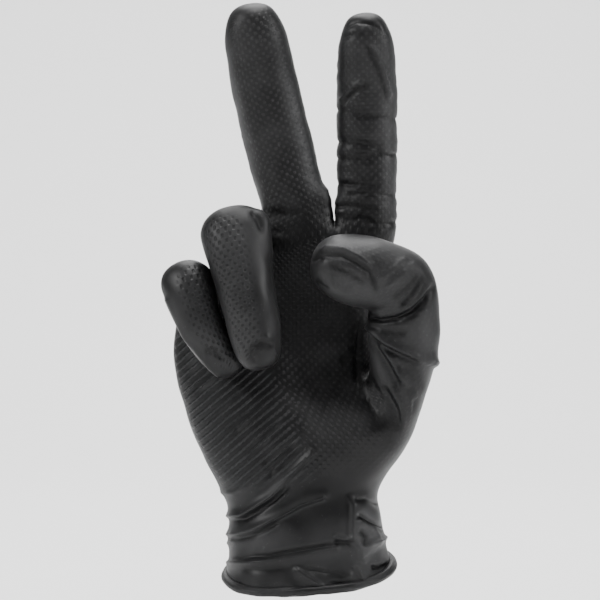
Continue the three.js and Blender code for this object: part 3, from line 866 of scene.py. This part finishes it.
    def dots(self) -> tuple[Array, Array]:
        """Where the film carries dots, and where these run together into slanting rows."""
        n, z, x = self.normal, self.co[:, 2], self.co[:, 0]
        flat = smoothstep(0.5, 0.85, np.abs(n[:, 1]))
        lean = smoothstep(0.8, 0.94, n @ unit(np.array([-0.34, -0.94, 0.05])))
        inward = smoothstep(0.7, 0.92, n @ unit(np.array([0.3, -0.95, 0.1])))
        tip = 1 - smoothstep(0.78, 0.92, self.along)
        above_cuff = smoothstep(36 * MM, 47 * MM, z - 0.12 * x)
        hand = self.share(H) * above_cuff * smoothstep(0.2, 0.5, np.abs(n[:, 1]))
        hand *= 1 - 0.6 * smoothstep(18 * MM, 32 * MM, x)
        rows = self.share(H) * smoothstep(0.2, 0.6, -n[:, 1])
        rows *= 1 - smoothstep(-18 * MM, 8 * MM, x + 0.35 * (z - 60 * MM))
        hand *= np.where(n[:, 1] < 0, 0.42 + 0.58 * rows, 0.7)
        made = hand + (0.6 * self.share(M) + 0.45 * self.share(I)) * flat * tip
        back = 0.7 * smoothstep(0.2, 0.6, n[:, 1])
        made += self.share(R) * (back - 0.9 * lean) * tip
        made += self.share(L) * (back - 0.75 * inward) * tip
        made += self.share(T) * 0.2 * flat * tip
        return np.clip(made, -1, 1), np.clip(rows, 0, 1)

    def write(self) -> None:
        """Puts the shape, the dots and the tone, with its painted light and shade, into the mesh."""
        dots, rows = self.dots()
        for name, values in (("dots", dots), ("rows", rows), ("tone", self.tone())):
            store(self.mesh, name, values)
        self.mesh.vertices.foreach_set("co", self.co.astype(np.float32).ravel())
        for name in [region.value for region in Region] + ["along"]:
            self.mesh.attributes.remove(self.mesh.attributes[name])
        self.mesh.update()


class Wire:
    """A socket that Python's operators work on."""

    def __init__(self, graph: "Graph", socket: bpy.types.NodeSocket) -> None:
        """Wraps an output socket."""
        self.graph, self.socket = graph, socket

    def math(self, operation: str, *others: "Wire | float") -> "Wire":
        """A Math node on this value and the others."""
        return self.graph.node("ShaderNodeMath", {"operation": operation}, self, *others)

    def __add__(self, other: "Wire | float") -> "Wire":
        """The sum."""
        return self.math("ADD", other)

    def __sub__(self, other: "Wire | float") -> "Wire":
        """The difference."""
        return self.math("SUBTRACT", other)

    def __rsub__(self, other: float) -> "Wire":
        """A number less this value."""
        return self.graph.node("ShaderNodeMath", {"operation": "SUBTRACT"}, other, self)

    def __mul__(self, other: "Wire | float") -> "Wire":
        """The product."""
        return self.math("MULTIPLY", other)

    __radd__ = __add__
    __rmul__ = __mul__

    def ramp(self, low: float, high: float, to_low: float = 0.0, to_high: float = 1.0) -> "Wire":
        """A smooth rise from to_low at low to to_high at high."""
        settings = {"interpolation_type": "SMOOTHSTEP"}
        return self.graph.node("ShaderNodeMapRange", settings, self, low, high, to_low, to_high)


class Graph:
    """A material's nodes."""

    def __init__(self, name: str) -> None:
        """Starts an empty material."""
        self.material = bpy.data.materials.new(name)
        self.material.use_nodes = True
        self.tree = self.material.node_tree
        self.tree.nodes.clear()

    def node(self, kind: str, settings: dict[str, object], *values: object,
             output: int | str = 0) -> Wire:
        """Makes a node.

        Args:
            kind: The node's type.
            settings: Its properties, set before its sockets.
            values: A value or Wire for each input, in order; None leaves one as it is.
            output: The output to return.

        Returns:
            The output, wrapped.
        """
        made = self.tree.nodes.new(kind)
        for key, value in settings.items():
            setattr(made, key, value)
        for socket, value in zip(made.inputs, values):
            if isinstance(value, Wire):
                self.tree.links.new(value.socket, socket)
            elif value is not None:
                socket.default_value = value
        return Wire(self, made.outputs[output])

    def attribute(self, name: str) -> Wire:
        """A float attribute of the mesh."""
        return self.node("ShaderNodeAttribute", {"attribute_name": name}, output="Fac")

    def noise(self, vector: Wire, scale: float, detail: float, rough: float) -> Wire:
        """Noise from 0 to 1."""
        return self.node("ShaderNodeTexNoise", {}, vector, None, scale, detail, rough)

    def parts(self, vector: Wire) -> list[Wire]:
        """The three parts of a vector."""
        made = self.tree.nodes.new("ShaderNodeSeparateXYZ")
        self.tree.links.new(vector.socket, made.inputs[0])
        return [Wire(self, output) for output in made.outputs]

    def mix(self, share: Wire, low: tuple[float, ...], high: tuple[float, ...]) -> Wire:
        """A colour between two."""
        settings = {"data_type": "RGBA"}
        return self.node("ShaderNodeMix", settings, share, *[None] * 5, low, high, output=2)

    def named(self, kind: str, inputs: dict[str, object]) -> Wire:
        """Makes a node with a value or Wire for each named input."""
        made = self.tree.nodes.new(kind)
        for name, value in inputs.items():
            if isinstance(value, Wire):
                self.tree.links.new(value.socket, made.inputs[name])
            else:
                made.inputs[name].default_value = value
        return Wire(self, made.outputs[0])

    def shade(self, inputs: dict[str, object]) -> bpy.types.Material:
        """Ends the nodes in a Principled shader and gives back the material."""
        shader = self.named("ShaderNodeBsdfPrincipled", inputs)
        out = self.tree.nodes.new("ShaderNodeOutputMaterial")
        self.tree.links.new(shader.socket, out.inputs["Surface"])
        return self.material


@dataclass(frozen=True)
class NitrileFilm:
    """The black film: satin, raised dots set in diamonds, a fine grain, and painted light and shade."""

    # The darker colour, which also carries the painted shade
    base: tuple[float, ...] = (0.003, 0.003, 0.0033, 1)
    # The lighter colour: wear and dust, and also the painted light
    wear_and_painted_light: tuple[float, ...] = (0.05, 0.05, 0.0512, 1)
    pitch: float = 1.65 * MM
    row_pitch: float = 2.7 * MM
    cross_pitch: float = 2.1 * MM
    row_wander: float = 1.2 * MM
    grain: float = 0.035
    strength: float = 0.8
    relief: float = 0.3 * MM
    # How strongly the mesh's painted light and shade act on the colour
    painted_light_strength: float = 0.6
    specks: float = 0.25
    specular: float = 0.25
    dotted: bool = True

    def build(self) -> bpy.types.Material:
        """Makes the material."""
        g = Graph("nitrile_film" if self.dotted else "nitrile_bead")
        place = g.node("ShaderNodeTexCoord", {}, output="Object")
        cloud = g.noise(place, 55, 3, 0.55)
        height = g.noise(place, 1600, 3, 0.6) * self.grain
        speck = g.noise(place, 900, 1, 0.5).ramp(0.7, 0.78)
        tone = cloud.ramp(0.35, 0.7) * 0.16 + 0.1
        rough = cloud.ramp(0.3, 0.7, 0.42, 0.54)
        if self.dotted:
            rows, dots = g.attribute("rows"), g.attribute("dots")
            ridge = self.ridge(g, place, cloud, rows)
            height = height + ridge * dots * (rows * 0.6 + 1)
            # Painted shade in the grooves and dimples of the pattern, with the raised tops lighter
            relief_shade = rows * 0.16 + 0.24
            tone = tone + (ridge - 0.45 - rows * 0.25) * dots * relief_shade
            # Painted light and painted shade from the mesh's tone attribute: creases, the palm's
            # hollow, lit patches
            tone = tone + g.attribute("tone") * self.painted_light_strength
            rough = rough + ridge * dots.math("ABSOLUTE") * 0.05
        tone = tone + speck * self.specks
        bump = {"Strength": self.strength, "Distance": self.relief, "Height": height}
        return g.shade({
            "Base Color": g.mix(tone, self.base, self.wear_and_painted_light), "Roughness": rough,
            "Normal": g.named("ShaderNodeBump", bump), "Specular IOR Level": self.specular})

    def ridge(self, g: Graph, place: Wire, cloud: Wire, rows: Wire) -> Wire:
        """The raised pattern: diamonds of dots, and slanting ridges where the rows are.

        Args:
            g: The nodes.
            place: The object's coordinates.
            cloud: A broad noise that the ridges wander with.
            rows: Where the dots run together, from 0 to 1.

        Returns:
            The height, from 0 to 1.
        """
        across, along, _ = g.parts(g.node("ShaderNodeUVMap", {"uv_map": "flat"}))
        turn = np.pi / self.pitch
        rising = ((along - across) * turn).math("COSINE")
        falling = ((along + across) * turn).math("COSINE")
        x, _, z = g.parts(place)
        over = z * 0.77 - x * 0.64 + cloud * self.row_wander
        slant = (over * (2 * np.pi / self.row_pitch)).math("COSINE")
        cross = ((x * 0.77 + z * 0.64) * (2 * np.pi / self.cross_pitch)).math("COSINE")
        lattice = (rising + falling) * 0.5 * (1 - rows) + (slant * 0.84 + cross * 0.16) * rows
        return lattice.ramp(0.0, 0.8)


@dataclass
class GloveBody:
    """The film of the whole glove: cuff, palm, back and stalls."""

    hand: Hand
    view: View
    finish: NitrileFilm = NitrileFilm()
    wall: float = 0.5 * MM
    levels: int = 3
    refined: int = 3500

    def smooth(self) -> bpy.types.Mesh:
        """The cage's smooth surface as a mesh."""
        cage = self.hand.cage()
        mesh = bpy.data.meshes.new("glove_film")
        mesh.from_pydata(np.vstack(cage.points), [], np.vstack(cage.quads).tolist())
        numbers = np.concatenate(cage.regions)
        for k, region in enumerate(Region):
            store(mesh, region.value, numbers == k)
        store(mesh, "along", np.concatenate(cage.alongs))
        flat = mesh.uv_layers.new(name="flat")
        flat.data.foreach_set("uv", np.vstack(cage.charts).astype(np.float32).ravel())
        cage_object = link("glove_cage", mesh)
        step = cage_object.modifiers.new("smooth", "SUBSURF")
        step.levels = step.render_levels = self.levels
        graph = bpy.context.evaluated_depsgraph_get()
        smooth = bpy.data.meshes.new_from_object(cage_object.evaluated_get(graph))
        bpy.data.objects.remove(cage_object)
        return smooth

    def refine(self, mesh: bpy.types.Mesh) -> None:
        """Cuts the faces nearest to the folds into four.

        Args:
            mesh: The mesh to change.
        """
        near = Film(mesh, self.view).near()
        work = bmesh.new()
        work.from_mesh(mesh)
        work.faces.ensure_lookup_table()
        reach = np.array([min(near[v.index] for v in face.verts) for face in work.faces])
        picked = np.argsort(reach, kind="stable")[:self.refined]
        edges = {edge for k in picked for edge in work.faces[k].edges}
        edges = sorted(edges, key=lambda edge: edge.index)
        bmesh.ops.subdivide_edges(work, edges=edges, cuts=1, use_grid_fill=True)
        work.to_mesh(mesh)
        work.free()

    def build(self) -> bpy.types.Object:
        """Makes the film's piece."""
        mesh = self.smooth()
        self.refine(mesh)
        film = Film(mesh, self.view)
        film.shape()
        film.write()
        mesh.materials.clear()
        mesh.materials.append(self.finish.build())
        mesh.shade_smooth()
        mesh.name = "glove_film"
        piece = link("glove_film", mesh)
        wall = piece.modifiers.new("wall", "SOLIDIFY")
        wall.thickness, wall.offset = self.wall, -1
        return piece


@dataclass
class CuffBead:
    """The bead that the cuff's rim is rolled into."""

    hand: Hand
    radius: float = 1.9 * MM
    stations: int = 240
    sides: int = 24
    finish: NitrileFilm = NitrileFilm(dotted=False)

    def centre(self) -> Array:
        """The rim's line: the uniform cubic B-spline of the first cage row."""
        knots = self.hand.rows()[0]
        t = np.linspace(0, len(knots), self.stations, endpoint=False)
        k, u = t.astype(int), (t % 1)[:, None]
        p0, p1, p2, p3 = (knots[(k + j - 1) % len(knots)] for j in range(4))
        return ((1 - u) ** 3 * p0 + (3 * u**3 - 6 * u**2 + 4) * p1
                + (-3 * u**3 + 3 * u**2 + 3 * u + 1) * p2 + u**3 * p3) / 6

    def build(self) -> bpy.types.Object:
        """Makes the bead's piece: a lobed circle carried round the rim."""
        line = self.centre()
        along = unit(np.roll(line, -1, axis=0) - np.roll(line, 1, axis=0))
        up = np.array([0.0, 0.0, 1.0])
        out = unit(np.cross(along, up))
        rise = np.cross(out, along)
        turn = np.arange(self.sides) / self.sides * 2 * np.pi
        travel = np.arange(self.stations) / self.stations * 2 * np.pi
        wobble = 1 + 0.05 * np.sin(7 * travel + 1) + 0.04 * np.sin(17 * travel)
        spin = turn[None, :] + 0.5 * np.sin(3 * travel)[:, None]
        r = self.radius * wobble[:, None] * (1 + 0.07 * np.cos(3 * spin) - 0.05 * np.cos(6 * spin))
        grid = (line[:, None] + r[..., None] * (np.cos(turn)[None, :, None] * out[:, None]
                                                + np.sin(turn)[None, :, None] * rise[:, None]))
        i = np.arange(self.stations)[:, None] * self.sides
        j = np.arange(self.sides)[None, :]
        i2, j2 = np.roll(i, -1, axis=0), np.roll(j, -1, axis=1)
        quads = np.stack([i + j, i + j2, i2 + j2, i2 + j], axis=-1).reshape(-1, 4)
        mesh = bpy.data.meshes.new("cuff_bead")
        mesh.from_pydata(grid.reshape(-1, 3), [], quads.tolist())
        mesh.materials.append(self.finish.build())
        mesh.shade_smooth()
        return link("cuff_bead", mesh)


@dataclass(frozen=True)
class Lamp:
    """A square area light: its place, what it points at, its side, and its power in watts."""

    name: str
    place: tuple[float, float, float]
    target: tuple[float, float, float]
    side: float
    power: float

    def build(self) -> None:
        """Makes the light."""
        data = bpy.data.lights.new(self.name, "AREA")
        data.size, data.energy = self.side, self.power
        light = link(self.name, data)
        light.location = self.place
        way = Vector(self.target) - Vector(self.place)
        light.rotation_euler = way.to_track_quat("-Z", "Y").to_euler()


@dataclass
class Studio:
    """A pale sweep, a soft sky and the lights."""

    floor_z: float = -45 * MM
    half: float = 3.0
    front: float = -4.0
    back: float = 1.2
    bend: float = 0.5
    top: float = 4.0
    pale: tuple[float, ...] = (0.86, 0.86, 0.86, 1)
    sky: float = 0.045
    sky_seen: float = 0.62
    lamps: tuple[Lamp, ...] = (
        Lamp("side_left", (-1.05, -0.65, 0.7), (0.0, 0.0, 0.1), 0.3, 12.5),
        Lamp("side_right", (1.05, -0.5, 0.6), (0.0, 0.0, 0.1), 0.3, 9.5),
        Lamp("top", (0.1, -0.35, 1.2), (0.0, 0.0, 0.1), 0.45, 12.5),
        Lamp("backdrop", (0.0, 0.7, 1.9), (0.0, 1.6, 0.2), 1.4, 80),
    )

    def build(self) -> None:
        """Makes the sweep, the sky and the lights."""
        self.sweep()
        self.world()
        for lamp in self.lamps:
            lamp.build()

    def sweep(self) -> None:
        """Makes the floor that bends up into the backdrop."""
        turn = np.linspace(0, np.pi / 2, 24)
        wall = self.back + self.bend
        y = np.concatenate([[self.front], self.back + self.bend * np.sin(turn), [wall]])
        z = np.concatenate([[0.0], self.bend * (1 - np.cos(turn)), [self.top]]) + self.floor_z
        xs = np.array([-self.half, self.half])
        points = np.stack([np.tile(xs, len(y)), np.repeat(y, 2), np.repeat(z, 2)], axis=1)
        k = np.arange(len(y) - 1) * 2
        mesh = bpy.data.meshes.new("sweep")
        mesh.from_pydata(points, [], np.stack([k, k + 1, k + 3, k + 2], axis=1).tolist())
        mesh.materials.append(Graph("pale_sweep").shade({"Base Color": self.pale, "Roughness": 0.9}))
        mesh.shade_smooth()
        link("sweep", mesh)

    def world(self) -> None:
        """Makes the sky, which the camera sees brighter than it lights the glove."""
        world = bpy.data.worlds.new("sky")
        world.use_nodes = True
        tree = world.node_tree
        ground = tree.nodes["Background"]
        ground.inputs["Color"].default_value = (1, 1, 1, 1)
        seen = tree.nodes.new("ShaderNodeLightPath")
        level = tree.nodes.new("ShaderNodeMapRange")
        level.inputs["To Min"].default_value = self.sky
        level.inputs["To Max"].default_value = self.sky_seen
        tree.links.new(seen.outputs["Is Camera Ray"], level.inputs["Value"])
        tree.links.new(level.outputs[0], ground.inputs["Strength"])
        bpy.context.scene.world = world


def main() -> None:
    """Builds the pieces in order and reports each."""
    logging.basicConfig(level=logging.INFO, format="%(message)s")
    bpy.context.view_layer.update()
    view, hand = View(), Hand()
    view.build()
    for maker in (GloveBody(hand, view), CuffBead(hand)):
        piece = maker.build()
        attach(piece, "root")
        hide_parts("glove")
        LOG.info("%s: %d faces", piece.name, len(piece.data.polygons))
    Studio().build()
    bpy.context.view_layer.update()


if __name__ == "__main__":
    main()
